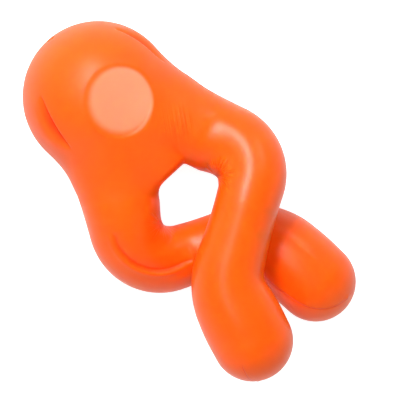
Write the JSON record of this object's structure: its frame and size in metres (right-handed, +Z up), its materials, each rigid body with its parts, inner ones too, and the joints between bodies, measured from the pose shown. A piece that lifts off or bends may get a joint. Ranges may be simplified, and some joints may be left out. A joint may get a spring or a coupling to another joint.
{
  "type": "treat dispensing dog toy",
  "caption": "Soft moulded chew toy: hollow round head with a treat mouth between flexible legs that twist over each other to lock the treat in.",
  "frame": {"origin": "under the middle of the toy's box, on the surface that it lies on", "axes": "+X from the crown to the feet, +Z up, away from the surface; +Y towards the leg that crosses on top"},
  "size_m": [0.1648, 0.088, 0.0621],
  "materials": {
    "orange_elastomer": "satin moulded thermoplastic elastomer, coloured through"
  },
  "bodies": {
    "head": {"head_shell": "orange_elastomer"},
    "right_thigh": {"right_thigh": "orange_elastomer"},
    "right_shin": {"right_shin": "orange_elastomer"},
    "right_ankle": {"right_ankle": "orange_elastomer"},
    "right_foot": {"right_foot": "orange_elastomer"},
    "left_thigh": {"left_thigh": "orange_elastomer"},
    "left_shin": {"left_shin": "orange_elastomer"},
    "left_ankle": {"left_ankle": "orange_elastomer"},
    "left_foot": {"left_foot": "orange_elastomer"}
  },
  "joints": [
    {"name": "right_hip_twist", "type": "hinge", "parent": "head", "child": "right_thigh", "pos_m": [-0.01247, 0.02286, 0.0314], "axis": [-0.8942, -0.4477, -0.0018], "range_deg": [0, 150], "stiffness_Nm_per_rad": 0.35},
    {"name": "right_knee_straighten", "type": "hinge", "parent": "right_thigh", "child": "right_shin", "pos_m": [0.00998, 0.02894, 0.03878], "axis": [-0.0018, -0.0005, 1], "range_deg": [0, 24], "stiffness_Nm_per_rad": 0.6},
    {"name": "right_shin_twist", "type": "hinge", "parent": "right_shin", "child": "right_ankle", "pos_m": [0.0237, 0.01414, 0.04418], "axis": [0.5222, -0.8528, 0.0004], "range_deg": [0, 40], "stiffness_Nm_per_rad": 0.6},
    {"name": "right_ankle_straighten", "type": "hinge", "parent": "right_ankle", "child": "right_foot", "pos_m": [0.03779, -0.00845, 0.04088], "axis": [-0.0639, -0.0396, -0.9972], "range_deg": [0, 35], "stiffness_Nm_per_rad": 0.6},
    {"name": "left_hip_twist", "type": "hinge", "parent": "head", "child": "left_thigh", "pos_m": [-0.01376, -0.02101, 0.02832], "axis": [-0.8413, 0.5364, 0.0675], "range_deg": [0, 150], "stiffness_Nm_per_rad": 0.35},
    {"name": "left_knee_straighten", "type": "hinge", "parent": "left_thigh", "child": "left_shin", "pos_m": [0.00881, -0.02899, 0.01928], "axis": [-0.0723, 0.0121, -0.9973], "range_deg": [0, 24], "stiffness_Nm_per_rad": 0.6},
    {"name": "left_shin_twist", "type": "hinge", "parent": "left_shin", "child": "left_ankle", "pos_m": [0.02214, -0.01249, 0.01304], "axis": [0.4389, 0.8983, -0.021], "range_deg": [0, 40], "stiffness_Nm_per_rad": 0.6},
    {"name": "left_ankle_straighten", "type": "hinge", "parent": "left_ankle", "child": "left_foot", "pos_m": [0.0309, 0.00474, 0.01462], "axis": [0.0277, 0.0098, 0.9996], "range_deg": [0, 35], "stiffness_Nm_per_rad": 0.6}
  ],
  "couplings": [
    {"joint": "right_knee_straighten", "follows": "right_hip_twist", "ratio": 0.16},
    {"joint": "left_knee_straighten", "follows": "left_hip_twist", "ratio": 0.16}
  ]
}
